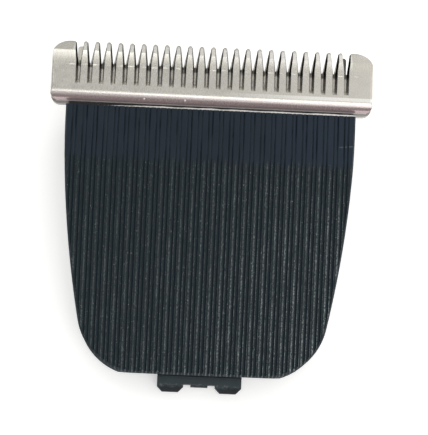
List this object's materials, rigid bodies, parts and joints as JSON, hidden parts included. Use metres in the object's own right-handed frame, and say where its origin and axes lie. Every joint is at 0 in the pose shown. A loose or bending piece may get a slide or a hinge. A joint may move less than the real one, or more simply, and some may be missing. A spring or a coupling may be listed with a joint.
{
  "type": "hair clipper blade",
  "caption": "Detachable hair clipper blade: a toothed steel comb over a sliding cutter, on a ribbed plastic body with a mounting hook and a socket for the clipper's drive.",
  "frame": {"origin": "middle of the bounding box, on the seat face that the head lies on", "axes": "+X along the cutting edge, +Y from the mounting hook to the tooth tips, +Z from the seat face up to the comb's face"},
  "size_m": [0.045, 0.0478, 0.011],
  "materials": {
    "comb_steel": "ground and polished",
    "cutter_steel": "ground",
    "plate_steel": "stamped, satin",
    "spring_steel": "drawn wire",
    "fastener_steel": "plated",
    "cover_plastic": "moulded, satin",
    "frame_plastic": "moulded, satin",
    "driver_plastic": "moulded acetal, matt"
  },
  "bodies": {
    "head": {"comb_blade": "comb_steel", "guide_plate": "plate_steel", "cover": "cover_plastic", "frame": "frame_plastic", "push_spring": "spring_steel", "plate_screws": "fastener_steel", "cover_screws": "fastener_steel"},
    "cutter": {"cutter_blade": "cutter_steel", "cutter_driver": "driver_plastic", "driver_rivets": "fastener_steel"}
  },
  "joints": [
    {"name": "cutter_slide", "type": "slide", "parent": "head", "child": "cutter", "axis": [1, 0, 0], "range_m": [-0.0011, 0.0013]}
  ]
}
